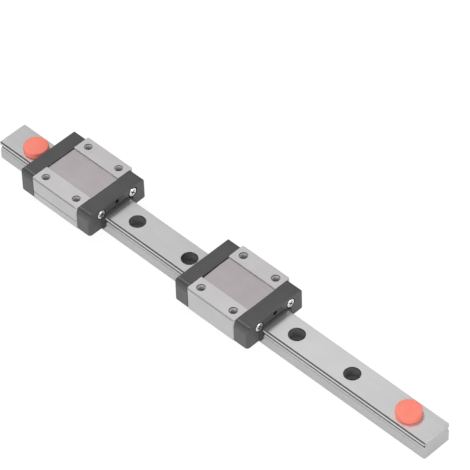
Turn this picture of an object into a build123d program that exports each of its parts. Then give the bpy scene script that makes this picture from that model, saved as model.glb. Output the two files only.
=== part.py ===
from build123d import *
import os
from math import cos, radians, sin, sqrt

os.makedirs("parts", exist_ok=True)

# Miniature linear guide of size 12: one ground rail with two compact ball carriages.
# X runs along the rail, Y across it and Z up. The origin is the middle of the rail's base.

# rail bar and its row of counterbored screw holes
rail_width = 12.0
rail_height = 8.0
rail_top_chamfer = 0.4
rail_base_chamfer = 0.45
rail_end_chamfer = 0.5
hole_pitch = 25.0
hole_count = 8
hole_end_margin = 12.5
rail_hole_diameter = 3.5
counterbore_diameter = 6.0
counterbore_depth = 4.5

# balls and the Gothic-arch raceways that they roll in
ball_diameter = 2.381
ball_centre_drop = 2.4
ball_standoff = 0.45
arch_conformity = 0.52
contact_angle = 45.0
balls_per_row = 8
ball_sides = 8

# hardened steel carriage body
body_length = 21.7
body_width = 27.0
top_height = 13.0
body_base_height = 3.0
body_top_chamfer = 0.4
body_base_chamfer = 0.5
body_corner_chamfer = 0.5
recess_width = 12.9
recess_depth = 0.6
channel_side_gap = 0.5
channel_headroom = 0.6
channel_corner_chamfer = 0.9
return_bore_clearance = 0.15
return_bore_wall = 3.0

# threaded mounting holes in the two raised strips on top, at the thread's full diameter
mount_spacing_x = 15.0
mount_spacing_y = 20.0
mount_thread_diameter = 3.0
mount_depth = 3.5

# line ground into one side of the reference carriage
reference_carriage = "carriage_a"
reference_line_height = 6.6
reference_line_width = 0.4
reference_line_depth = 0.2

# moulded end caps
cap_length = 6.15
cap_side_inset = 0.3
cap_top_drop = 0.2
cap_base_lift = 0.25
cap_shoulder_run = 1.2
cap_shoulder_fall = 1.9
cap_corner_radius = 2.0
cap_rim_chamfer = 0.5
cap_rail_clearance = 0.2
grease_hole_diameter = 1.6
grease_hole_depth = 3.0

# rubber end seals set into the caps
seal_pocket_depth = 0.9
seal_proud = 0.35
seal_rail_clearance = 0.06
seal_pocket_clearance = 0.05
seal_border = 1.5
seal_shoulder_drop = 0.7
seal_crown_width = 9.4
seal_crown_rise = 1.1

# screws that hold the caps
screw_spacing = 14.7
screw_rise = 1.8
screw_diameter = 1.7
screw_head_diameter = 3.4
screw_head_height = 1.2
screw_head_proud = 0.1
screw_head_clearance = 0.15
screw_shank_clearance = 0.1
screw_thread_clearance = 0.04
screw_engagement = 4.0
screw_hole_runout = 0.5
hidden_sides = 8

# plugs pushed into the last hole at each end of the rail
plug_head_diameter = 9.0
plug_head_height = 2.3
plug_edge_chamfer = 0.4
plug_stem_length = 3.6
plug_stem_clearance = 0.05

# where the middle of each carriage stands, from the rail's far end
carriage_a_distance = 35.8
carriage_b_distance = 110.6

rail_length = (hole_count - 1) * hole_pitch + 2 * hole_end_margin
carriage_positions = {
    "carriage_a": carriage_a_distance - rail_length / 2,
    "carriage_b": carriage_b_distance - rail_length / 2,
}
ball_radius = ball_diameter / 2
ball_centre_height = rail_height - ball_centre_drop
arch_radius = arch_conformity * ball_diameter
arch_shift = (arch_radius - ball_radius) * sin(radians(contact_angle))
arch_shift_y = (arch_radius - ball_radius) * cos(radians(contact_angle))
ball_centre_y = rail_width / 2 + ball_standoff
ball_half_length = 0.8 * ball_radius
ball_end_chamfer = 0.45 * ball_radius
ball_pitch = body_length / balls_per_row
channel_half_width = rail_width / 2 + channel_side_gap
channel_top = rail_height + channel_headroom
return_bore_y = body_width / 2 - return_bore_wall
cap_width = body_width - 2 * cap_side_inset
cap_top_height = top_height - cap_top_drop
cap_base_height = body_base_height + cap_base_lift
cap_shoulder_height = cap_top_height - cap_shoulder_fall
seal_thickness = seal_pocket_depth + seal_proud
seal_shoulder_height = rail_height - seal_shoulder_drop
seal_crown_height = rail_height + seal_crown_rise
grease_hole_height = (seal_crown_height + cap_top_height) / 2
screw_height = rail_height + screw_rise
seat_depth = screw_head_height - screw_head_proud
end_hole_x = (hole_count - 1) * hole_pitch / 2


def arch_points(wall_y, towards, clearance):
    """Lower lip, lower contact, apex, upper contact and upper lip of one raceway."""
    radius = arch_radius - clearance
    centre_y = ball_centre_y - towards * arch_shift_y
    reach = sqrt(radius**2 - (wall_y - centre_y) ** 2) - arch_shift
    contact_y = centre_y + towards * radius * cos(radians(contact_angle))
    rise = radius * sin(radians(contact_angle)) - arch_shift
    apex_y = centre_y + towards * sqrt(radius**2 - arch_shift**2)
    return (
        (wall_y, ball_centre_height - reach),
        (contact_y, ball_centre_height - rise),
        (apex_y, ball_centre_height),
        (contact_y, ball_centre_height + rise),
        (wall_y, ball_centre_height + reach),
    )


def rail_section(clearance=0.0):
    """Face of the rail's cross section, grown by a clearance."""
    side = rail_width / 2 + clearance
    base = -clearance
    top = rail_height + clearance
    lip_1, contact_1, apex, contact_2, lip_2 = arch_points(side, -1, clearance)
    with BuildSketch() as section:
        with BuildLine():
            Line((0, base), (side - rail_base_chamfer, base))
            Line((side - rail_base_chamfer, base), (side, base + rail_base_chamfer))
            Line((side, base + rail_base_chamfer), lip_1)
            ThreePointArc(lip_1, contact_1, apex)
            ThreePointArc(apex, contact_2, lip_2)
            Line(lip_2, (side, top - rail_top_chamfer))
            Line((side, top - rail_top_chamfer), (side - rail_top_chamfer, top))
            Line((side - rail_top_chamfer, top), (0, top))
            mirror(about=Plane.YZ)
        make_face()
    return section.sketch


def channel_section():
    """Face of the carriage's channel with its two raceways, open at the bottom."""
    side = channel_half_width
    flat = side - channel_corner_chamfer
    lip_1, contact_1, apex, contact_2, lip_2 = arch_points(side, 1, 0.0)
    with BuildSketch() as section:
        with BuildLine():
            Line((0, 0), (side, 0))
            Line((side, 0), lip_1)
            ThreePointArc(lip_1, contact_1, apex)
            ThreePointArc(apex, contact_2, lip_2)
            Line(lip_2, (side, channel_top - channel_corner_chamfer))
            Line((side, channel_top - channel_corner_chamfer), (flat, channel_top))
            Line((flat, channel_top), (0, channel_top))
            mirror(about=Plane.YZ)
        make_face()
    return section.sketch


def seal_outline(clearance=0.0):
    """Face of the end seal's outer shape: two legs and a crown over the rail."""
    leg = rail_width / 2 + seal_border + clearance
    crown = seal_crown_width / 2 + clearance
    shoulder = seal_shoulder_height + clearance
    crown_top = seal_crown_height + clearance
    base = cap_base_height - clearance
    with BuildSketch() as outline:
        with BuildLine():
            Polyline((0, base), (leg, base), (leg, shoulder), (crown, crown_top), (0, crown_top))
            mirror(about=Plane.YZ)
        make_face()
    return outline.sketch


def hidden_round(diameter):
    """Face of a shank or bore that stays out of sight, with few sides."""
    with BuildSketch() as outline:
        RegularPolygon(diameter / 2, hidden_sides)
    return outline.sketch


# rail: ground profile, then the row of counterbored holes from the top
with BuildPart() as rail:
    with BuildSketch(Plane.YZ.offset(-rail_length / 2)):
        add(rail_section())
    extrude(amount=rail_length)
    end_faces = rail.faces().filter_by(Axis.X)
    chamfer(end_faces.edges(), rail_end_chamfer)
    with Locations(Plane.XY.offset(rail_height)):
        with GridLocations(hole_pitch, 0, hole_count, 1):
            CounterBoreHole(
                radius=rail_hole_diameter / 2,
                counter_bore_radius=counterbore_diameter / 2,
                counter_bore_depth=counterbore_depth,
            )
rail.part.label = "rail"
export_step(rail.part, "parts/rail.step")

# end stop plugs: a stem in the counterbore and a round head on the rail's top face
for plug_name, plug_x in (("plug_far", -end_hole_x), ("plug_near", end_hole_x)):
    with BuildPart() as plug:
        with BuildSketch(Plane.XY.offset(rail_height)):
            with Locations((plug_x, 0)):
                Circle(plug_head_diameter / 2)
        extrude(amount=plug_head_height)
        chamfer(plug.faces().sort_by(Axis.Z)[-1].edges(), plug_edge_chamfer)
        with BuildSketch(Plane.XY.offset(rail_height)):
            with Locations((plug_x, 0)):
                Circle(counterbore_diameter / 2 - plug_stem_clearance)
        extrude(amount=-plug_stem_length)
    plug.part.label = plug_name
    export_step(plug.part, f"parts/{plug_name}.step")

for carriage, centre_x in carriage_positions.items():
    # steel body: saddle profile, milled top, mounting threads and cap screw threads
    with BuildPart() as body:
        with BuildSketch(Plane.YZ.offset(centre_x - body_length / 2)):
            with BuildLine():
                Polyline(
                    (0, body_base_height),
                    (body_width / 2 - body_base_chamfer, body_base_height),
                    (body_width / 2, body_base_height + body_base_chamfer),
                    (body_width / 2, top_height - body_top_chamfer),
                    (body_width / 2 - body_top_chamfer, top_height),
                    (recess_width / 2, top_height),
                    (recess_width / 2, top_height - recess_depth),
                    (0, top_height - recess_depth),
                )
                mirror(about=Plane.YZ)
            make_face()
            add(channel_section(), mode=Mode.SUBTRACT)
            with Locations((return_bore_y, ball_centre_height), (-return_bore_y, ball_centre_height)):
                add(hidden_round(ball_diameter + 2 * return_bore_clearance), mode=Mode.SUBTRACT)
        extrude(amount=body_length)
        outer_faces = body.faces().filter_by(Axis.Y).group_by(lambda face: abs(face.center().Y))[-1]
        chamfer(outer_faces.edges().filter_by(Axis.Z), body_corner_chamfer)
        if carriage == reference_carriage:
            with BuildSketch(Plane.YZ.offset(centre_x - body_length / 2)):
                with Locations((-body_width / 2, reference_line_height)):
                    Rectangle(2 * reference_line_depth, reference_line_width)
            extrude(amount=body_length, mode=Mode.SUBTRACT)
        with Locations(Plane.XY.offset(top_height)):
            with Locations((centre_x, 0)):
                with GridLocations(mount_spacing_x, mount_spacing_y, 2, 2):
                    Hole(radius=mount_thread_diameter / 2, depth=mount_depth)
        for side in (-1, 1):
            with BuildSketch(Plane.YZ.offset(centre_x + side * body_length / 2)):
                with Locations((screw_spacing / 2, screw_height), (-screw_spacing / 2, screw_height)):
                    add(hidden_round(screw_diameter + 2 * screw_thread_clearance))
            extrude(amount=-side * (screw_engagement + screw_hole_runout), mode=Mode.SUBTRACT)
    body.part.label = f"{carriage}_body"
    export_step(body.part, f"parts/{carriage}_body.step")

    for end, side in (("far", -1), ("near", 1)):
        joint_x = centre_x + side * body_length / 2
        front_x = joint_x + side * cap_length

        # end cap: moulded hood with round corners, sloping shoulders and a bevelled outer rim
        with BuildPart() as cap:
            with BuildSketch(Plane.XY.offset(cap_base_height)) as hood:
                with Locations((joint_x + side * cap_length / 2, 0)):
                    Rectangle(cap_length, cap_width)
                fillet(hood.vertices().group_by(Axis.X)[0 if side < 0 else -1], cap_corner_radius)
            extrude(amount=cap_top_height - cap_base_height)
            with BuildSketch(Plane.YZ.offset(joint_x)):
                with BuildLine():
                    Polyline(
                        (cap_width / 2, cap_shoulder_height),
                        (cap_width / 2, cap_top_height),
                        (cap_width / 2 - cap_shoulder_run, cap_top_height),
                        close=True,
                    )
                make_face()
                mirror(about=Plane.YZ)
            extrude(amount=side * cap_length, mode=Mode.SUBTRACT)
            rim = cap.faces().filter_by(Axis.Z).edges()
            rim_start = cap_length - cap_corner_radius
            chamfer(rim.filter_by(lambda edge: (edge.center().X - joint_x) * side > rim_start), cap_rim_chamfer)
            with BuildSketch(Plane.YZ.offset(joint_x)):
                Rectangle(rail_width + 2 * cap_rail_clearance, 2 * (rail_height + cap_rail_clearance))
            extrude(amount=side * cap_length, mode=Mode.SUBTRACT)
            with BuildSketch(Plane.YZ.offset(front_x)):
                add(seal_outline(seal_pocket_clearance))
            extrude(amount=-side * seal_pocket_depth, mode=Mode.SUBTRACT)
            with BuildSketch(Plane.YZ.offset(front_x)):
                with Locations((screw_spacing / 2, screw_height), (-screw_spacing / 2, screw_height)):
                    Circle(screw_head_diameter / 2 + screw_head_clearance)
            extrude(amount=-side * seat_depth, mode=Mode.SUBTRACT)
            with BuildSketch(Plane.YZ.offset(front_x)):
                with Locations((screw_spacing / 2, screw_height), (-screw_spacing / 2, screw_height)):
                    add(hidden_round(screw_diameter + 2 * screw_shank_clearance))
            extrude(amount=-side * cap_length, mode=Mode.SUBTRACT)
            with BuildSketch(Plane.YZ.offset(front_x)):
                with Locations((0, grease_hole_height)):
                    Circle(grease_hole_diameter / 2)
            extrude(amount=-side * grease_hole_depth, mode=Mode.SUBTRACT)
        cap.part.label = f"{carriage}_cap_{end}"
        export_step(cap.part, f"parts/{carriage}_cap_{end}.step")

        # end seal: thin rubber plate whose lip follows the rail's section
        with BuildPart() as seal:
            with BuildSketch(Plane.YZ.offset(front_x - side * seal_pocket_depth)):
                add(seal_outline())
            extrude(amount=side * seal_thickness)
            with BuildSketch(Plane.YZ.offset(front_x - side * seal_pocket_depth)):
                add(rail_section(seal_rail_clearance))
            extrude(amount=side * seal_thickness, mode=Mode.SUBTRACT)
        seal.part.label = f"{carriage}_seal_{end}"
        export_step(seal.part, f"parts/{carriage}_seal_{end}.step")

        # two screws through the cap into the steel body
        with BuildPart() as screws:
            with BuildSketch(Plane.YZ.offset(front_x - side * seat_depth)):
                with Locations((screw_spacing / 2, screw_height), (-screw_spacing / 2, screw_height)):
                    Circle(screw_head_diameter / 2)
            extrude(amount=side * screw_head_height)
            with BuildSketch(Plane.YZ.offset(front_x - side * seat_depth)):
                with Locations((screw_spacing / 2, screw_height), (-screw_spacing / 2, screw_height)):
                    add(hidden_round(screw_diameter))
            extrude(amount=-side * (cap_length - seat_depth + screw_engagement))
        screws.part.label = f"{carriage}_screws_{end}"
        export_step(screws.part, f"parts/{carriage}_screws_{end}.step")

    # loaded balls: one row each side between the rail's raceway and the body's
    with BuildPart() as ball:
        with BuildSketch(Plane.YZ):
            RegularPolygon(ball_radius, ball_sides)
        extrude(amount=ball_half_length, both=True)
        chamfer(ball.faces().filter_by(Axis.X).edges(), ball_end_chamfer)
    ball_spots = GridLocations(ball_pitch, 2 * ball_centre_y, balls_per_row, 2)
    middle = Location((centre_x, 0, ball_centre_height))
    balls = Compound([ball.part.moved(middle * spot) for spot in ball_spots])
    balls.label = f"{carriage}_balls"
    export_step(balls, f"parts/{carriage}_balls.step")
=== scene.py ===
import math

import bmesh
import bpy
from mathutils import Matrix, Vector


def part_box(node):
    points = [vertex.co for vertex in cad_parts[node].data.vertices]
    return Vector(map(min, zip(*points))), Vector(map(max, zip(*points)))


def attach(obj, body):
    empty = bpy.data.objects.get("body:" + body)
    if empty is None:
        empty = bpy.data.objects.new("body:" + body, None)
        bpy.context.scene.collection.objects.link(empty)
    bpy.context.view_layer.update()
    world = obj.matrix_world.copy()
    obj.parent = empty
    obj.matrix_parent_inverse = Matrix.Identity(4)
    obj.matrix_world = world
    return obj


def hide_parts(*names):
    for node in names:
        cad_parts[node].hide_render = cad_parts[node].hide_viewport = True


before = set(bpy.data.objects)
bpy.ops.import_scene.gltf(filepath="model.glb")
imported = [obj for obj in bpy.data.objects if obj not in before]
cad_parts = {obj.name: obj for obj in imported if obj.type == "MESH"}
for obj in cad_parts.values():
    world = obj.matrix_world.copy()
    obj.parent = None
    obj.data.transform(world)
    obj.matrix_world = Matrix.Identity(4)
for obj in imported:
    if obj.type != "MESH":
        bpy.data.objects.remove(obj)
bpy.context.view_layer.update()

mm = 0.001
print("frame loaded:", len(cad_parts), "nodes")


def colour(hexText):
    # sRGB hex to the linear values that the shader sockets take
    steps = [int(hexText[i:i + 2], 16) / 255 for i in (1, 3, 5)]
    return [c / 12.92 if c <= 0.04045 else ((c + 0.055) / 1.055) ** 2.4 for c in steps] + [1.0]


def addNode(tree, kind, sockets=None, **settings):
    made = tree.nodes.new(kind)
    for name, value in settings.items():
        setattr(made, name, value)
    for socket, value in (sockets or {}).items():
        if isinstance(value, bpy.types.NodeSocket):
            tree.links.new(value, made.inputs[socket])
        else:
            made.inputs[socket].default_value = value
    return made


def newMaterial(name):
    material = bpy.data.materials.new(name)
    material.use_nodes = True
    tree = material.node_tree
    return material, tree, tree.nodes["Principled BSDF"]


# every steel's noise: its detail, and the part of its range that the tone and the gloss follow
steelGrain = {"streakDetail": 3.0, "streakRoughness": 0.6, "patchDetail": 4.0, "toneSpan": (0.3, 0.7),
              "glossSpan": (0.25, 0.75)}


def makeSteel(name, look):
    # streaks follow the cut of the grinding wheel or the mill; patches are the faint clouding of oiled steel
    material, tree, shader = newMaterial(name)
    place = addNode(tree, "ShaderNodeTexCoord").outputs["Object"]
    stretch = [1 / (size * mm) for size in look["streakSize"]]
    stretched = addNode(tree, "ShaderNodeMapping", {"Vector": place, "Scale": stretch})
    streaks = addNode(tree, "ShaderNodeTexNoise", {
        "Vector": stretched.outputs[0], "Scale": 1.0, "Detail": steelGrain["streakDetail"],
        "Roughness": steelGrain["streakRoughness"]}).outputs["Fac"]
    patches = addNode(tree, "ShaderNodeTexNoise", {
        "Vector": place, "Scale": 1 / (look["patchSize"] * mm),
        "Detail": steelGrain["patchDetail"]}).outputs["Fac"]
    both = addNode(tree, "ShaderNodeMath", {0: streaks, 1: patches}, operation="ADD")
    mean = addNode(tree, "ShaderNodeMath", {0: both.outputs[0], 1: 0.5}, operation="MULTIPLY")
    tint = addNode(tree, "ShaderNodeValToRGB", {"Fac": mean.outputs[0]})
    for stop, position, shade in zip(tint.color_ramp.elements, steelGrain["toneSpan"], ("dark", "light")):
        stop.position = position
        stop.color = colour(look[shade])
    gloss = addNode(tree, "ShaderNodeMapRange", {
        "Value": streaks, "From Min": steelGrain["glossSpan"][0], "From Max": steelGrain["glossSpan"][1],
        "To Min": look["roughness"] - look["roughnessSpread"],
        "To Max": look["roughness"] + look["roughnessSpread"]})
    relief = addNode(tree, "ShaderNodeBump", {
        "Height": streaks, "Strength": look["reliefStrength"], "Distance": look["relief"] * mm})
    tone = tint.outputs["Color"]
    # painted shade: the tone is darkened along X toward the far end of the rail
    if "paintedShade" in look:
        axes = addNode(tree, "ShaderNodeSeparateXYZ", {"Vector": place})
        along = addNode(tree, "ShaderNodeMapRange", {
            "Value": axes.outputs["X"], "To Min": 1 - look["paintedShade"], "To Max": 1.0,
            "From Min": look["paintedShadeFrom"] * mm, "From Max": look["paintedShadeTo"] * mm})
        scaled = addNode(tree, "ShaderNodeVectorMath", {
            0: tone, "Scale": along.outputs[0]}, operation="SCALE")
        tone = scaled.outputs[0]
    tree.links.new(tone, shader.inputs["Base Color"])
    tree.links.new(gloss.outputs[0], shader.inputs["Roughness"])
    tree.links.new(relief.outputs[0], shader.inputs["Normal"])
    shader.inputs["Metallic"].default_value = look["metallic"]
    return material


def makeBore(name, look):
    # matt and a little uneven, with painted light that pales it with depth, so that a bore reads as one even
    # dark tone from above
    material, tree, shader = newMaterial(name)
    place = addNode(tree, "ShaderNodeTexCoord").outputs["Object"]
    axes = addNode(tree, "ShaderNodeSeparateXYZ", {"Vector": place})
    depth = addNode(tree, "ShaderNodeMapRange", {
        "Value": axes.outputs["Z"], "From Min": look["mouth"] * mm, "From Max": look["deep"] * mm})
    marks = addNode(tree, "ShaderNodeTexNoise", {
        "Vector": place, "Scale": 1 / (look["markSize"] * mm), "Detail": look["markDetail"]})
    uneven = addNode(tree, "ShaderNodeMath", {
        0: marks.outputs["Fac"], 1: look["unevenness"], 2: depth.outputs[0]}, operation="MULTIPLY_ADD")
    tint = addNode(tree, "ShaderNodeValToRGB", {"Fac": uneven.outputs[0]})
    for stop, position, shade in zip(tint.color_ramp.elements, look["toneSpan"], ("dark", "light")):
        stop.position = position
        stop.color = colour(look[shade])
    tree.links.new(tint.outputs["Color"], shader.inputs["Base Color"])
    shader.inputs["Roughness"].default_value = look["roughness"]
    shader.inputs["Metallic"].default_value = look["metallic"]
    return material


# every moulding's noise: its detail, the grain's share in the tone, and the gloss's swing with the grain
mouldGrain = {"grainDetail": 2.0, "flowDetail": 3.0, "grainShare": 0.35, "span": (0.3, 0.7),
              "glossSwing": 0.05}


def makeMoulded(name, look):
    # fine grain of a spark-eroded mould, with a slow change of tone where the melt flowed
    material, tree, shader = newMaterial(name)
    place = addNode(tree, "ShaderNodeTexCoord").outputs["Object"]
    grain = addNode(tree, "ShaderNodeTexNoise", {
        "Vector": place, "Scale": 1 / (look["grainSize"] * mm),
        "Detail": mouldGrain["grainDetail"]}).outputs["Fac"]
    flow = addNode(tree, "ShaderNodeTexNoise", {
        "Vector": place, "Scale": 1 / (look["flowSize"] * mm),
        "Detail": mouldGrain["flowDetail"]}).outputs["Fac"]
    mixed = addNode(tree, "ShaderNodeMix", {"Factor": mouldGrain["grainShare"], 2: flow, 3: grain})
    tint = addNode(tree, "ShaderNodeValToRGB", {"Fac": mixed.outputs[0]})
    for stop, position, shade in zip(tint.color_ramp.elements, mouldGrain["span"], ("dark", "light")):
        stop.position = position
        stop.color = colour(look[shade])
    gloss = addNode(tree, "ShaderNodeMapRange", {
        "Value": grain, "From Min": mouldGrain["span"][0], "From Max": mouldGrain["span"][1],
        "To Min": look["roughness"] - mouldGrain["glossSwing"],
        "To Max": look["roughness"] + mouldGrain["glossSwing"]})
    relief = addNode(tree, "ShaderNodeBump", {
        "Height": grain, "Strength": look["reliefStrength"], "Distance": look["relief"] * mm})
    tree.links.new(tint.outputs["Color"], shader.inputs["Base Color"])
    tree.links.new(gloss.outputs[0], shader.inputs["Roughness"])
    tree.links.new(relief.outputs[0], shader.inputs["Normal"])
    shader.inputs["IOR"].default_value = look["ior"]
    return material


# ground bearing steel: pale satin grey with fine lines along the rail, and painted shade that darkens it
# toward the far end
groundSteelLook = {"dark": "#cacacb", "light": "#d3d3d3", "paintedShade": 0.14, "paintedShadeFrom": 0, "paintedShadeTo": 60,
                   "streakSize": (18, 0.3, 0.3), "patchSize": 14, "roughness": 0.4, "roughnessSpread": 0.05,
                   "relief": 0.01, "reliefStrength": 0.3, "metallic": 0.85}
groundSteel = makeSteel("ground_bearing_steel", groundSteelLook)

# rail sides: ground with a coarser wheel, a shade darker than the top
sideSteelLook = {"dark": "#b3b3b4", "light": "#bebebe", "streakSize": (14, 0.4, 0.4), "patchSize": 12,
                 "roughness": 0.5, "roughnessSpread": 0.05, "relief": 0.012, "reliefStrength": 0.3,
                 "metallic": 0.7}
sideSteel = makeSteel("side_ground_steel", sideSteelLook)

# raceway under its upper lip and by the apex: dark, painted shade where the lip hides the light
raceShadeSteelLook = {"dark": "#373738", "light": "#414142", "streakSize": (25, 0.2, 0.2), "patchSize": 14,
                 "roughness": 0.5, "roughnessSpread": 0.04, "relief": 0.01, "reliefStrength": 0.2,
                 "metallic": 0.5}
raceShadeSteel = makeSteel("painted_shade_raceway_steel", raceShadeSteelLook)

# the land over the raceway, ground, and the raceway's lower flank: lighter than the rail's sides, painted
# light
litFlankSteelLook = {"dark": "#c3c3c4", "light": "#cdcdce", "streakSize": (25, 0.2, 0.2), "patchSize": 14,
                  "roughness": 0.6, "roughnessSpread": 0.04, "relief": 0.01, "reliefStrength": 0.2,
                  "metallic": 0.2}
litFlankSteel = makeSteel("painted_light_flank_steel", litFlankSteelLook)

# cut ends of the bar: the wheel's lines stand upright
endSteelLook = {"dark": "#b1b1b2", "light": "#bcbcbd", "streakSize": (0.5, 0.4, 5), "patchSize": 6,
                "roughness": 0.5, "roughnessSpread": 0.05, "relief": 0.012, "reliefStrength": 0.3,
                "metallic": 0.7}
endSteel = makeSteel("cut_end_steel", endSteelLook)

# dull and near black, painted shade: in the carriage's bores and channel, in the screws' cross recesses and
# on the rail's unground -Y chamfer
shadeSteelLook = {"dark": "#58585a", "light": "#69696b", "streakSize": (0.8, 0.8, 0.8), "patchSize": 5,
                  "roughness": 0.6, "roughnessSpread": 0.08, "relief": 0.02, "reliefStrength": 0.4,
                  "metallic": 0.6}
shadeSteel = makeSteel("painted_shade_steel", shadeSteelLook)

# counterbores: dull and dark near the mouth, with painted light paling them deeper down
boreLitSteelLook = {"dark": "#464648", "light": "#aaaaac", "toneSpan": (0.05, 1.0), "mouth": 8.0, "deep": 3.5,
                 "markSize": 1.5, "markDetail": 2.0, "unevenness": 0.06, "roughness": 0.75, "metallic": 0.1}
boreLitSteel = makeBore("painted_light_bore_steel", boreLitSteelLook)

# ground strips on the carriage: a little brighter, the lines run along the rail
stripSteelLook = {"dark": "#bebcbd", "light": "#c7c5c6", "streakSize": (12, 0.25, 0.25), "patchSize": 9,
                  "roughness": 0.42, "roughnessSpread": 0.05, "relief": 0.01, "reliefStrength": 0.3,
                  "metallic": 0.85}
stripSteel = makeSteel("ground_carriage_steel", stripSteelLook)

# milled recess: darker and slightly warm, with the mill's coarser lines
milledSteelLook = {"dark": "#a7a1a4", "light": "#b2acaf", "streakSize": (8, 0.5, 0.5), "patchSize": 6,
                   "roughness": 0.46, "roughnessSpread": 0.05, "relief": 0.015, "reliefStrength": 0.4,
                   "metallic": 1.0}
milledSteel = makeSteel("milled_carriage_steel", milledSteelLook)

# walls of the recess, left by the cutter's corner: a duller copy of the milled steel, painted shade
cutterWallShadeLook = {"dark": "#aca8aa", "light": "#b8b4b6", "streakSize": (8, 0.5, 0.5), "patchSize": 6,
                  "roughness": 0.55, "roughnessSpread": 0.05, "relief": 0.015, "reliefStrength": 0.4,
                  "metallic": 0.5}
cutterWallShade = makeSteel("painted_shade_recess_wall", cutterWallShadeLook)

# the cutter's run-out at the recess's ends: near black, painted shade
runOutShadeLook = {"dark": "#2b2b2c", "light": "#363637", "streakSize": (1, 1, 1), "patchSize": 5,
              "roughness": 0.6, "roughnessSpread": 0.05, "relief": 0.01, "reliefStrength": 0.2,
              "metallic": 0.4}
runOutShadeSteel = makeSteel("painted_shade_run_out", runOutShadeLook)

# carriage sides: satin blasted, a shade paler than the rail's sides
bodySideLook = {"dark": "#bababb", "light": "#c4c4c5", "streakSize": (6, 2, 2), "patchSize": 8,
                "roughness": 0.5, "roughnessSpread": 0.05, "relief": 0.012, "reliefStrength": 0.3,
                "metallic": 0.75}
bodySide = makeSteel("blasted_carriage_steel", bodySideLook)

# broken edge on the carriage's -Y top side: a thin grey line of painted shade
edgeShadeSteelLook = {"dark": "#a2a2a3", "light": "#adadae", "streakSize": (6, 1, 1), "patchSize": 6,
                 "roughness": 0.5, "roughnessSpread": 0.05, "relief": 0.01, "reliefStrength": 0.2,
                 "metallic": 0.6}
edgeShadeSteel = makeSteel("painted_shade_edge_steel", edgeShadeSteelLook)

# tapped threads: bright cut steel, in shade inside the hole
threadSteelLook = {"dark": "#c6c6c8", "light": "#d6d6d8", "streakSize": (1, 1, 0.3), "patchSize": 2,
                   "roughness": 0.45, "roughnessSpread": 0.05, "relief": 0.005, "reliefStrength": 0.2,
                   "metallic": 0.6}
threadSteel = makeSteel("cut_thread_steel", threadSteelLook)

# bright zinc plate on the cap screws
zincPlateLook = {"dark": "#dcdcde", "light": "#f0f0f2", "streakSize": (0.6, 0.6, 0.6), "patchSize": 2,
                 "roughness": 0.24, "roughnessSpread": 0.05, "relief": 0.005, "reliefStrength": 0.2,
                 "metallic": 1.0}
zincPlate = makeSteel("bright_zinc_plate", zincPlateLook)

# lapped bearing balls: mirror bright
ballSteelLook = {"dark": "#d8d8da", "light": "#e4e4e6", "streakSize": (1, 1, 1), "patchSize": 2,
                 "roughness": 0.08, "roughnessSpread": 0.02, "relief": 0.001, "reliefStrength": 0.1,
                 "metallic": 1.0}
ballSteel = makeSteel("lapped_ball_steel", ballSteelLook)

# glass-filled nylon: dark grey, fine matt grain with a weak sheen
nylonLook = {"dark": "#3c3c3d", "light": "#484849", "grainSize": 0.35, "flowSize": 6, "roughness": 0.42,
             "relief": 0.02, "reliefStrength": 0.35, "ior": 1.53}
nylon = makeMoulded("moulded_filled_nylon", nylonLook)

# nylon on the caps' outer sides: a little paler, painted light
litNylonSideLook = {**nylonLook, "dark": "#464647", "light": "#525253"}
litNylonSide = makeMoulded("painted_light_nylon_side", litNylonSideLook)

# nylon in the mouths of the screw seats and the grease hole: darker, painted shade
nylonShadeLook = {"dark": "#1e1e1f", "light": "#28282a", "grainSize": 0.35, "flowSize": 6, "roughness": 0.6,
                  "relief": 0.02, "reliefStrength": 0.3, "ior": 1.45}
nylonShade = makeMoulded("painted_shade_nylon_mouth", nylonShadeLook)

# nitrile rubber: matt black, the grain is finer than the nylon's
rubberLook = {"dark": "#353536", "light": "#404041", "grainSize": 0.25, "flowSize": 4, "roughness": 0.7,
              "relief": 0.01, "reliefStrength": 0.3, "ior": 1.52}
rubber = makeMoulded("moulded_nitrile_rubber", rubberLook)

# soft vinyl: coral red, smooth and faintly waxy, with painted shade making it deeper round the flank
vinylLook = {"dark": "#fb7f6c", "light": "#ff8f7c", "grainSize": 0.6, "flowSize": 5, "roughness": 0.42,
             "relief": 0.01, "reliefStrength": 0.2, "ior": 1.5}
vinylFlankShadeLook = {**vinylLook, "dark": "#e67361", "light": "#ec8271", "roughness": 0.55}
# painted light: a faint glow on the coral, though the plug is no lamp
vinylPaintedGlow = {"tone": "#ff7a66", "strength": 0.09}   # faint: the coral is as vivid as in the photograph
vinyl = makeMoulded("moulded_soft_vinyl", vinylLook)
vinylFlankShade = makeMoulded("soft_vinyl_painted_shade_flank", vinylFlankShadeLook)
for coral in (vinyl, vinylFlankShade):
    vinylShader = coral.node_tree.nodes["Principled BSDF"]
    vinylShader.inputs["Emission Color"].default_value = colour(vinylPaintedGlow["tone"])
    vinylShader.inputs["Emission Strength"].default_value = vinylPaintedGlow["strength"]
print("materials made")


# in mm and degrees: one point, one level, one plane and a real corner in a CAD mesh, and what a weld takes up
tolerance = {"point": 0.0005, "level": 0.02, "plane": 0.3, "corner": 35, "weld": 0.001}
# smooth shading ends at these angles, and large flat faces weigh this much in the normals
shading = {"steelAngle": 32, "mouldedAngle": 40, "flatWeight": 50}
# how far a face's normal reaches along an axis: square on it, mostly or half along it, or sloping
facing = {"square": 0.9, "most": 0.6, "half": 0.5, "sloping": (0.3, 0.95)}


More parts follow.
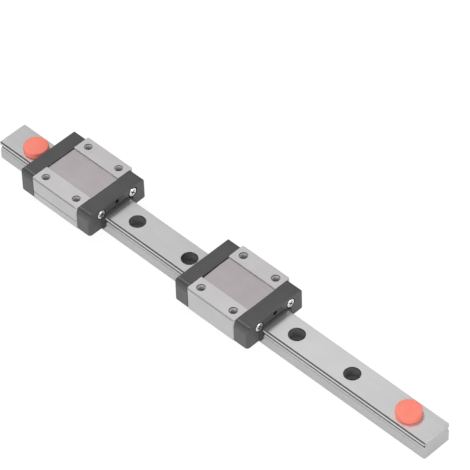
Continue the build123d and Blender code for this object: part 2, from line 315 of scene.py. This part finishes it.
def finishPiece(bm, name, body, materials, nodes, sharpAngle=shading["steelAngle"]):
    # faces are smooth up to the sharp angle, and the piece takes the place of its nodes
    for face in bm.faces:
        face.smooth = True
    for edge in bm.edges:
        edge.smooth = len(edge.link_faces) == 2 and edge.calc_face_angle(0) < math.radians(sharpAngle)
    mesh = bpy.data.meshes.new(name)
    bm.to_mesh(mesh)
    bm.free()
    for material in materials:
        mesh.materials.append(material)
    piece = bpy.data.objects.new(name, mesh)
    bpy.context.scene.collection.objects.link(piece)
    # large flat faces keep their own normal, so that only the broken edges shade as round
    weighted = piece.modifiers.new("weighted_normals", "WEIGHTED_NORMAL")
    weighted.weight = shading["flatWeight"]
    weighted.keep_sharp = True
    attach(piece, body)
    if nodes:
        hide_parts(*nodes)


def mergedCopy(node):
    bm = bmesh.new()
    bm.from_mesh(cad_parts[node].data)
    bmesh.ops.remove_doubles(bm, verts=bm.verts, dist=tolerance["point"] * mm)
    bmesh.ops.dissolve_limit(bm, angle_limit=math.radians(tolerance["plane"]), verts=bm.verts, edges=bm.edges)
    bm.normal_update()
    return bm


def isCorner(edge):
    return len(edge.link_faces) == 2 and edge.calc_face_angle(0) > math.radians(tolerance["corner"])


def breakEdges(bm, width, wanted, segments=2):
    # takes the sharpness off the corners that wanted() picks; beside short edges the overlap limit narrows it
    edges = [e for e in bm.edges if isCorner(e) and wanted(e)]
    bmesh.ops.bevel(bm, geom=edges, offset=width * mm, offset_type="OFFSET", segments=segments, profile=0.5,
                    affect="EDGES", material=-1, clamp_overlap=True)
    bm.normal_update()


def allAt(edge, axis, level):
    return all(abs(v.co[axis] / mm - level) < tolerance["level"] for v in edge.verts)


def between(value, span):
    return span[0] < value < span[1]


# rail bar: satin ground faces, dark bores, painted shade on the -Y chamfer, two raceways; the spans tell its
# faces apart
railBar = {"top": 8.0, "holePitch": 25, "mouthReach": 3.2, "mouthBreak": 0.16,
           "boreHalf": 3.05, "boreHeight": (0.01, 7.95), "boreEnd": 99,
           "raceHalf": (4.9, 5.97), "raceHeight": (3.9, 7.3), "raceShade": 5.15,
           "landHalf": 5.97, "landHeight": (6.55, 7.65), "chamferSide": -5.5, "chamferFrom": 7.5}


def makeRail():
    finishes = [groundSteel, raceShadeSteel, shadeSteel, sideSteel, boreLitSteel, litFlankSteel, endSteel]

    def byMouth(v):
        fromHole = v.co.x / mm % railBar["holePitch"] - railBar["holePitch"] / 2
        return math.hypot(v.co.y / mm, fromHole) < railBar["mouthReach"]

    def onMouth(edge):
        return allAt(edge, 2, railBar["top"]) and all(byMouth(v) for v in edge.verts)

    bm = mergedCopy("rail")
    breakEdges(bm, railBar["mouthBreak"], onMouth)
    for face in bm.faces:
        centre, normal = face.calc_center_median() / mm, face.normal
        out, height = abs(centre.y), centre.z
        holed = abs(centre.x) < railBar["boreEnd"] and out < railBar["boreHalf"]
        raced = between(out, railBar["raceHalf"]) and abs(normal.x) < facing["half"]
        onLand = out > railBar["landHalf"] and abs(normal.y) > facing["square"]
        chamfered = centre.y < railBar["chamferSide"] and between(normal.z, facing["sloping"])
        if holed and between(height, railBar["boreHeight"]):
            finish = boreLitSteel
        # painted shade: only the -Y chamfer is darkened
        elif chamfered and height > railBar["chamferFrom"]:
            finish = shadeSteel
        # painted shade on the raceway's upper part, painted light on its lower flank
        elif raced and between(height, railBar["raceHeight"]):
            finish = raceShadeSteel if height > railBar["raceShade"] else litFlankSteel
        # painted light on the land over the raceway
        elif onLand and between(height, railBar["landHeight"]):
            finish = litFlankSteel
        elif abs(normal.x) > facing["most"]:
            finish = endSteel
        elif normal.z > facing["square"]:
            finish = groundSteel
        else:
            finish = sideSteel
        face.material_index = finishes.index(finish)
    finishPiece(bm, "rail_bar", "rail", finishes, ["rail"])


makeRail()
print("rail made")


# carriage saddle: ground strips, milled recess, bores and channel dark with painted shade; the spans tell its
# faces apart
saddle = {"top": 13.0, "mouthReach": 1.6, "mouthBreak": 0.28, "recessFloor": 12.4, "runOut": 0.55,
          "topFrom": 12.9, "recessHalf": 6.5, "recessFrom": 12.3,
          "boreReach": 1.9, "boreHeight": (9.4, 12.98), "boreFloor": (9.3, 9.7),
          "edgeSide": -13, "edgeFrom": 12.5, "channelHalf": 8.6, "channelTop": 8.7}
# the four mounting holes, from the carriage's middle, and the thread ridges inside them
mountHole = {"x": 7.5, "y": 10}
mountThread = {"wallRadius": 1.52, "crestRadius": 1.26, "crestSpan": (0.44, 0.56), "pitch": 0.5, "turns": 6,
               "stepsPerTurn": 24, "start": 12.75}


def makeSaddle(carriage):
    node = f"{carriage}_body"
    low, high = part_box(node)
    middle = (low.x + high.x) / 2
    finishes = [stripSteel, milledSteel, cutterWallShade, shadeSteel, bodySide, edgeShadeSteel, runOutShadeSteel]

    def fromHole(spot):
        return abs(spot.x - middle) / mm - mountHole["x"], abs(spot.y) / mm - mountHole["y"]

    def byMouth(v):
        return max(abs(away) for away in fromHole(v.co)) < saddle["mouthReach"]

    def onMouth(edge):
        return allAt(edge, 2, saddle["top"]) and all(byMouth(v) for v in edge.verts)

    def onRunOut(edge):
        atEnd = allAt(edge, 0, low.x / mm) or allAt(edge, 0, high.x / mm)
        return atEnd and allAt(edge, 2, saddle["recessFloor"])

    bm = mergedCopy(node)
    breakEdges(bm, saddle["mouthBreak"], onMouth, segments=1)
    breakEdges(bm, saddle["runOut"], onRunOut, segments=1)
    for face in bm.faces:
        spot, normal = face.calc_center_median(), face.normal
        out, height = abs(spot.y) / mm, spot.z / mm
        level = normal.z > facing["square"]
        inRecess = out < saddle["recessHalf"] and height > saddle["recessFrom"]
        inBore = math.hypot(*fromHole(spot)) < saddle["boreReach"] and between(height, saddle["boreHeight"])
        onEdge = spot.y / mm < saddle["edgeSide"] and height > saddle["edgeFrom"]
        inChannel = out < saddle["channelHalf"] and height < saddle["channelTop"]
        if level and height > saddle["topFrom"]:
            finish = stripSteel
        # painted shade on the -Y top edge only
        elif onEdge and between(normal.z, facing["sloping"]):
            finish = edgeShadeSteel
        # painted shade on the run-out at the recess's ends
        elif inRecess and abs(normal.x) > facing["half"]:
            finish = runOutShadeSteel
        elif inRecess and level:
            finish = milledSteel
        # painted shade on the recess walls
        elif inRecess and abs(normal.y) > facing["half"]:
            finish = cutterWallShade
        # painted shade in the bores and under the channel
        elif (inBore and not level) or (level and between(height, saddle["boreFloor"])):
            finish = shadeSteel
        elif inChannel and abs(normal.x) < facing["half"]:
            finish = shadeSteel
        else:
            finish = bodySide
        face.material_index = finishes.index(finish)
    finishPiece(bm, f"{carriage}_saddle", carriage, finishes, [node])


def makeThreads(carriage):
    low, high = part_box(f"{carriage}_body")
    middle = (low.x + high.x) / 2
    wall, crest = mountThread["wallRadius"] * mm, mountThread["crestRadius"] * mm
    top, pitch = mountThread["start"] * mm, mountThread["pitch"] * mm
    perTurn = mountThread["stepsPerTurn"]
    crestTop, crestBase = [top - share * pitch for share in mountThread["crestSpan"]]
    ridge = [(wall, 0, top), (crest, 0, crestTop), (crest, 0, crestBase), (wall, 0, top - pitch)]
    bm = bmesh.new()
    for sideX in (-1, 1):
        for sideY in (-1, 1):
            axisAt = Vector((middle + sideX * mountHole["x"] * mm, sideY * mountHole["y"] * mm, 0))
            face = bm.faces.new([bm.verts.new(axisAt + Vector(point)) for point in ridge])
            bmesh.ops.spin(bm, geom=[face, *face.edges, *face.verts], cent=axisAt, axis=(0, 0, 1),
                           dvec=(0, 0, -pitch / perTurn), angle=math.tau * mountThread["turns"],
                           steps=mountThread["turns"] * perTurn, use_merge=False, use_duplicate=False)
    bmesh.ops.recalc_face_normals(bm, faces=bm.faces)
    finishPiece(bm, f"{carriage}_mount_threads", carriage, [threadSteel], [])


# moulded end caps: corners tighter than the CAD's in plan, softened shoulders, bevels round the mouths dark
# with painted shade
endCap = {"planRadius": 2.0, "tightRadius": 1.1, "leastRun": 0.05, "planSlack": 0.01, "sideGrow": 0.15,
          "baseDrop": 0.2, "shoulderRun": 1.25, "shoulderFall": 1.9, "softReach": 0.85, "softRows": 3,
          "ridgeDepth": 0.22, "browDepth": 0.14, "sliver": 0.002, "edgeRadius": 0.22, "mouthBreak": 0.28,
          "mouthClear": 0.4, "shadeReach": 0.3, "shadeDepth": 0.05, "sideFacing": 0.8,
          "seatReach": 2.0, "greaseReach": 1.0, "greaseHeight": 10.95}


def tightenCorners(bm, low, high, front, side):
    # draws the corners seen from above out to a tighter curve; the side walls come out nearly flush with the
    # steel body's, and the base comes down, as the photograph shows them
    plan, tight = endCap["planRadius"], endCap["tightRadius"]
    for v in bm.verts:
        outX = (v.co.x / mm - front) * side + plan
        outY = min(abs(v.co.y) / mm - high.y / mm + plan, plan)
        if outX > -endCap["planSlack"] and outY > 0:
            was = math.sqrt(max(plan ** 2 - outY ** 2, 0))
            tightY = max(outY - plan + tight, 0)
            now = plan - tight + math.sqrt(max(tight ** 2 - tightY ** 2, 0))
            share = min(max(outX / was, 0), 1) if was > endCap["leastRun"] else 1
            v.co.x += side * (now - was) * share * mm
        v.co.y += math.copysign(endCap["sideGrow"] * max(outY, 0) / plan, v.co.y) * mm
        v.co.z -= endCap["baseDrop"] * max(1 - (v.co.z - low.z) / mm / plan, 0) * mm


def softenShoulders(bm, high):
    # rounds the two long corners of each shoulder: cuts rows beside them, then draws the rows in
    half, top = high.y / mm + endCap["sideGrow"], high.z / mm
    ridge = Vector((half - endCap["shoulderRun"], top))
    brow = Vector((half, top - endCap["shoulderFall"]))
    slope = (brow - ridge).normalized()
    inward, down = Vector((-1, 0)), Vector((0, -1))
    corners = [(ridge, inward, slope, endCap["ridgeDepth"]), (brow, -slope, down, endCap["browDepth"])]
    reach, rows = endCap["softReach"], endCap["softRows"]
    for corner, before, after, depth in corners:
        for way in (before, after):
            for row in range(1 if way is after else 0, rows + 1):
                spot = corner + way * reach * row / rows
                for aim in [(0, 0, 1)] if way is down else [(0, 1, 0), (0, -1, 0)]:
                    point = (0, aim[1] * spot.x * mm, spot.y * mm)
                    bmesh.ops.bisect_plane(bm, geom=bm.verts[:] + bm.edges[:] + bm.faces[:],
                                           dist=tolerance["weld"] * mm, plane_co=point, plane_no=aim)
    for v in bm.verts:
        here = Vector((abs(v.co.y), v.co.z)) / mm
        for corner, before, after, depth in corners:
            away = (here - corner).length / reach
            if away < 1:
                pull = (before + after).normalized() * depth * (1 - away) ** 2 * mm
                v.co.y += pull.x if v.co.y > 0 else -pull.x
                v.co.z += pull.y
    # the cuts leave slivers beside the old corners
    bmesh.ops.remove_doubles(bm, verts=bm.verts, dist=endCap["sliver"] * mm)
    bm.normal_update()


def makeCap(carriage, end):
    node = f"{carriage}_cap_{end}"
    low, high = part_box(node)
    screwLow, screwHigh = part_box(f"{carriage}_screws_{end}")
    sealLow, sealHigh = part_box(f"{carriage}_seal_{end}")
    side = 1 if end == "near" else -1
    front = (high.x if side > 0 else low.x) / mm
    pocketFloor = (sealLow.x if side > 0 else sealHigh.x) / mm
    headRadius = (screwHigh.z - screwLow.z) / 2
    seatY, seatZ = (screwHigh.y - headRadius) / mm, (screwLow.z + screwHigh.z) / 2 / mm
    mouths = [(seatY, seatZ, endCap["seatReach"]), (-seatY, seatZ, endCap["seatReach"]),
              (0, endCap["greaseHeight"], endCap["greaseReach"])]
    finishes = [nylon, nylonShade, litNylonSide]

    def within(spot, mouth, slack=0.0):
        return math.hypot(spot.y / mm - mouth[0], spot.z / mm - mouth[1]) < mouth[2] + slack

    def onMouth(edge, mouth):
        return allAt(edge, 0, front) and all(within(v.co, mouth) for v in edge.verts)

    def byMouth(edge):
        return any(within(v.co, mouth, endCap["mouthClear"]) for v in edge.verts for mouth in mouths)

    bm = mergedCopy(node)
    tightenCorners(bm, low, high, front, side)
    for mouth in mouths:
        breakEdges(bm, endCap["mouthBreak"], lambda e: onMouth(e, mouth), segments=1)
    # the pocket's floor keeps its edges, because the seal covers them and its rim is narrow there
    breakEdges(bm, endCap["edgeRadius"], lambda e: not (allAt(e, 0, pocketFloor) or byMouth(e)), segments=3)
    softenShoulders(bm, high)
    for face in bm.faces:
        centre, normal = face.calc_center_median(), face.normal
        # painted shade in the mouths of the screw seats and the grease hole
        sunk = abs(normal.x) < facing["square"] or abs(centre.x / mm - front) > endCap["shadeDepth"]
        if sunk and any(within(centre, mouth, endCap["shadeReach"]) for mouth in mouths):
            finish = nylonShade
        # painted light on the caps' outer sides
        elif abs(normal.y) > endCap["sideFacing"]:
            finish = litNylonSide
        else:
            finish = nylon
        face.material_index = finishes.index(finish)
    finishPiece(bm, f"{carriage}_hood_{end}", carriage, finishes, [node],
                sharpAngle=shading["mouldedAngle"])


# rubber end seals with a softened lip
endSeal = {"lipRadius": 0.1}


def makeSeal(carriage, end):
    node = f"{carriage}_seal_{end}"
    bm = mergedCopy(node)
    breakEdges(bm, endSeal["lipRadius"], lambda e: True)
    finishPiece(bm, f"{carriage}_lip_{end}", carriage, [rubber], [node],
                sharpAngle=shading["mouldedAngle"])


# cap screws: low domed head with a cross recess, on a plain shank; the dome is in radius shares and drops
capScrew = {"headRadius": 1.7, "headHeight": 1.2, "edgeRise": 0.75, "dome": ((0.96, 0.2), (0.86, 0.07)),
            "faceRadius": 1.15, "shankRadius": 0.85, "tipShare": 0.7, "tipLength": 0.3, "crossArm": 1.05,
            "crossWidth": 0.5, "crossDepth": 0.8, "crossTaper": 0.55, "crossTurn": 20, "crossTurnSpread": 25,
            "steps": 40}


def turnedScrew(reach):
    # one screw along Z, as long as reach, with the head's flat face at 0 and the tip below
    made = bmesh.new()
    head, deep, shank = capScrew["headRadius"] * mm, capScrew["headHeight"] * mm, capScrew["shankRadius"] * mm
    flat = capScrew["faceRadius"] * mm
    # half outline from the tip of the shank round to the rim of the head's flat face
    outline = [(0, -reach), (shank * capScrew["tipShare"], -reach),
               (shank, -reach + capScrew["tipLength"] * mm), (shank, -deep),
               (head, -deep), (head, -deep + capScrew["edgeRise"] * mm)]
    outline += [(head * share, -drop * mm) for share, drop in capScrew["dome"]] + [(flat, 0)]
    points = [made.verts.new((x, 0, z)) for x, z in outline]
    edges = [made.edges.new(pair) for pair in zip(points, points[1:])]
    bmesh.ops.spin(made, geom=points + edges, cent=(0, 0, 0), axis=(0, 0, 1), angle=math.tau,
                   steps=capScrew["steps"], use_merge=True, use_duplicate=False)
    bmesh.ops.remove_doubles(made, verts=made.verts, dist=tolerance["weld"] * mm)
    rim = [e for e in made.edges if e.is_boundary]
    arm, half = capScrew["crossArm"] * mm, capScrew["crossWidth"] * mm / 2
    quarter = [Vector((arm, -half, 0)), Vector((arm, half, 0)), Vector((half, half, 0))]
    turns = [Matrix.Rotation(math.radians(90 * turn), 4, "Z") for turn in range(4)]
    cross = [made.verts.new(turn @ corner) for turn in turns for corner in quarter]
    crossEdges = [made.edges.new(pair) for pair in zip(cross, cross[1:] + cross[:1])]
    bmesh.ops.triangle_fill(made, use_beauty=True, edges=rim + crossEdges)
    lid = [f for f in made.faces if all(v in cross for v in f.verts)]
    bmesh.ops.delete(made, geom=lid, context="FACES_ONLY")
    walls = bmesh.ops.extrude_edge_only(made, edges=crossEdges)["geom"]
    sunk = [g for g in walls if isinstance(g, bmesh.types.BMVert)]
    bmesh.ops.scale(made, verts=sunk, vec=(capScrew["crossTaper"], capScrew["crossTaper"], 1))
    bmesh.ops.translate(made, verts=sunk, vec=(0, 0, -capScrew["crossDepth"] * mm))
    bottom = [g for g in walls if isinstance(g, bmesh.types.BMEdge) and g.is_boundary]
    bmesh.ops.contextual_create(made, geom=bottom)
    bmesh.ops.recalc_face_normals(made, faces=made.faces)
    for face in made.faces:
        # the recess takes the second material, near black as painted shade
        inHead = face.calc_center_median().z > -deep and all(v.co.xy.length < flat for v in face.verts)
        lowest = min(v.co.z for v in face.verts)
        face.material_index = 1 if inHead and lowest < -capScrew["crossDepth"] * mm / 2 else 0
    return made


def makeScrews(carriage, end):
    node = f"{carriage}_screws_{end}"
    low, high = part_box(node)
    side = 1 if end == "near" else -1
    tip, front = (low.x, high.x) if side > 0 else (high.x, low.x)
    axisY, axisZ = high.y - capScrew["headRadius"] * mm, (low.z + high.z) / 2
    bm = bmesh.new()
    for sideY in (-1, 1):
        made = turnedScrew(abs(front - tip))
        angle = math.radians(capScrew["crossTurn"] + capScrew["crossTurnSpread"] * sideY)
        turn = Matrix.Rotation(math.radians(90 * side), 4, "Y") @ Matrix.Rotation(angle, 4, "Z")
        place = Matrix.Translation((front, sideY * axisY, axisZ))
        bmesh.ops.transform(made, matrix=place @ turn, verts=made.verts)
        held = bpy.data.meshes.new("screwPart")
        made.to_mesh(held)
        made.free()
        bm.from_mesh(held)
        bpy.data.meshes.remove(held)
    finishPiece(bm, f"{carriage}_cap_screws_{end}", carriage, [zincPlate, shadeSteel], [node])


# loaded balls, smooth and round
loadedBalls = {"radius": 1.1905, "perRow": 8, "pitch": 21.7 / 8, "centreY": 6.45, "centreZ": 5.6,
               "segments": 24, "rings": 14}


def makeBalls(carriage):
    node = f"{carriage}_balls"
    low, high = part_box(node)
    middle = (low.x + high.x) / 2
    bm = bmesh.new()
    for sideY in (-1, 1):
        for place in range(loadedBalls["perRow"]):
            x = middle + (place - (loadedBalls["perRow"] - 1) / 2) * loadedBalls["pitch"] * mm
            at = Matrix.Translation((x, sideY * loadedBalls["centreY"] * mm, loadedBalls["centreZ"] * mm))
            bmesh.ops.create_uvsphere(bm, u_segments=loadedBalls["segments"], v_segments=loadedBalls["rings"],
                                      radius=loadedBalls["radius"] * mm, matrix=at)
    finishPiece(bm, f"{carriage}_ball_rows", carriage, [ballSteel], [node])


for carriage in ("carriage_a", "carriage_b"):
    makeSaddle(carriage)
    makeThreads(carriage)
    makeBalls(carriage)
    for end in ("far", "near"):
        makeCap(carriage, end)
        makeSeal(carriage, end)
        makeScrews(carriage, end)
    print(carriage, "made")


# stop plugs: soft rounded head, slightly crowned, on a stem that sits in the counterbore
stopPlug = {"edgeRadius": 0.5, "edgeStep": 15, "headBreak": 0.15, "stemRadius": 2.95, "stemBreak": 0.3,
            "crown": 0.06, "crownShare": 0.3, "crownReach": 0.5, "topFacing": 0.8, "steps": 64}


def makePlug(node):
    low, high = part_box(node)
    centre = (low + high) / 2
    top, under = high.z, railBar["top"] * mm
    radius, edge = (high.x - low.x) / 2, stopPlug["edgeRadius"] * mm
    stem, crown = stopPlug["stemRadius"] * mm, stopPlug["crown"] * mm
    stemBreak, headBreak = stopPlug["stemBreak"] * mm, stopPlug["headBreak"] * mm
    outline = [(0, low.z), (stem - stemBreak, low.z), (stem, low.z + stemBreak), (stem, under),
               (radius - headBreak, under), (radius, under + headBreak)]
    for turn in range(0, 91, stopPlug["edgeStep"]):
        angle = math.radians(turn)
        outline.append((radius - edge + edge * math.cos(angle), top - crown - edge + edge * math.sin(angle)))
    outline += [(radius * stopPlug["crownReach"], top - crown * stopPlug["crownShare"]), (0, top)]
    bm = bmesh.new()
    points = [bm.verts.new((centre.x + x, centre.y, z)) for x, z in outline]
    edges = [bm.edges.new(pair) for pair in zip(points, points[1:])]
    bmesh.ops.spin(bm, geom=points + edges, cent=(centre.x, centre.y, 0), axis=(0, 0, 1), angle=math.tau,
                   steps=stopPlug["steps"], use_merge=True, use_duplicate=False)
    bmesh.ops.remove_doubles(bm, verts=bm.verts, dist=tolerance["weld"] * mm)
    bmesh.ops.recalc_face_normals(bm, faces=bm.faces)
    # the flank takes the second material, in painted shade
    for face in bm.faces:
        face.material_index = 0 if face.normal.z > stopPlug["topFacing"] else 1   # 1: the flank
    finishPiece(bm, f"{node}_soft", "rail", [vinyl, vinylFlankShade], [node])


makePlug("plug_far")
makePlug("plug_near")
print("plugs made")


# studio: white floor, even white surroundings and soft lamps, the key a little behind the guide
studio = {"floorHalf": 3.0, "floorDrop": 0.00005, "floorColour": "#f7f7f7", "floorRoughness": 0.9,
          "seenLift": 0.86, "glossLift": 0.68, "floorWhite": 1.08, "surround": 0.4,
          "lamps": {"key": {"power": 8.0, "size": 0.4, "place": (-0.8, 0.2, 1.5)},
                    "leftFill": {"power": 18.0, "size": 1.2, "place": (0.4, -1.65, 0.55)},
                    "rightFill": {"power": 12.0, "size": 1.0, "place": (1.65, 0.3, 0.5)},
                    "nearKick": {"power": 0.03, "size": 0.15, "place": (-0.14, 0.21, 0.33)}}}


def makeFloor():
    bm = bmesh.new()
    bmesh.ops.create_grid(bm, x_segments=1, y_segments=1, size=studio["floorHalf"])
    bmesh.ops.translate(bm, vec=(0, 0, -studio["floorDrop"]), verts=bm.verts)   # clear of the rail's base
    mesh = bpy.data.meshes.new("studio_floor")
    bm.to_mesh(mesh)
    bm.free()
    floor = bpy.data.objects.new("studio_floor", mesh)
    bpy.context.scene.collection.objects.link(floor)
    material, tree, shader = newMaterial("white_paper_floor")   # matt white paper
    shader.inputs["Base Color"].default_value = colour(studio["floorColour"])
    shader.inputs["Roughness"].default_value = studio["floorRoughness"]
    # seen straight or in a gloss the paper is mostly its own white, so that its shadow stays faint
    path = addNode(tree, "ShaderNodeLightPath")
    seen = addNode(tree, "ShaderNodeMath", {
        0: path.outputs["Is Camera Ray"], 1: studio["seenLift"]}, operation="MULTIPLY")
    share = addNode(tree, "ShaderNodeMath", {
        0: path.outputs["Is Glossy Ray"], 1: studio["glossLift"],
        2: seen.outputs[0]}, operation="MULTIPLY_ADD")
    white = addNode(tree, "ShaderNodeEmission", {"Color": (1, 1, 1, 1), "Strength": studio["floorWhite"]})
    blend = addNode(tree, "ShaderNodeMixShader", {
        0: share.outputs[0], 1: shader.outputs[0], 2: white.outputs[0]})
    tree.links.new(blend.outputs[0], tree.nodes["Material Output"].inputs["Surface"])
    mesh.materials.append(material)


def makeSurround():
    # plain white to the camera, weaker as a light
    world = bpy.data.worlds.new("white_surround")
    bpy.context.scene.world = world
    world.use_nodes = True
    tree = world.node_tree
    path = addNode(tree, "ShaderNodeLightPath")
    level = addNode(tree, "ShaderNodeMapRange", {
        "Value": path.outputs["Is Camera Ray"], "To Min": studio["surround"], "To Max": 1.0})
    tree.links.new(level.outputs[0], tree.nodes["Background"].inputs["Strength"])
    tree.nodes["Background"].inputs["Color"].default_value = (1, 1, 1, 1)


def makeLamps():
    for lampName, look in studio["lamps"].items():
        lamp = bpy.data.lights.new(lampName, "AREA")
        lamp.energy = look["power"]
        lamp.size = look["size"]
        holder = bpy.data.objects.new(lampName, lamp)
        holder.location = look["place"]
        holder.rotation_euler = (-holder.location).to_track_quat("-Z", "Y").to_euler()   # aims at the guide
        holder.visible_camera = False
        bpy.context.scene.collection.objects.link(holder)


# camera fitted to the hole centres: far off with a long lens
view = {"place": (0.609993, -0.579275, 0.909612), "turn": (43.6396, 1.3423, 44.6102), "lens": 283.0,
        "sensor": 36, "clipStart": 0.1, "clipEnd": 20}


def makeCamera():
    data = bpy.data.cameras.new("camera")
    data.lens = view["lens"]
    data.sensor_width = view["sensor"]
    data.clip_start = view["clipStart"]
    data.clip_end = view["clipEnd"]
    camera = bpy.data.objects.new("camera", data)
    camera.location = view["place"]
    camera.rotation_euler = [math.radians(angle) for angle in view["turn"]]
    bpy.context.scene.collection.objects.link(camera)
    bpy.context.scene.camera = camera


makeFloor()
makeSurround()
makeLamps()
makeCamera()
bpy.context.scene.view_settings.view_transform = "Standard"
print("studio and camera made")
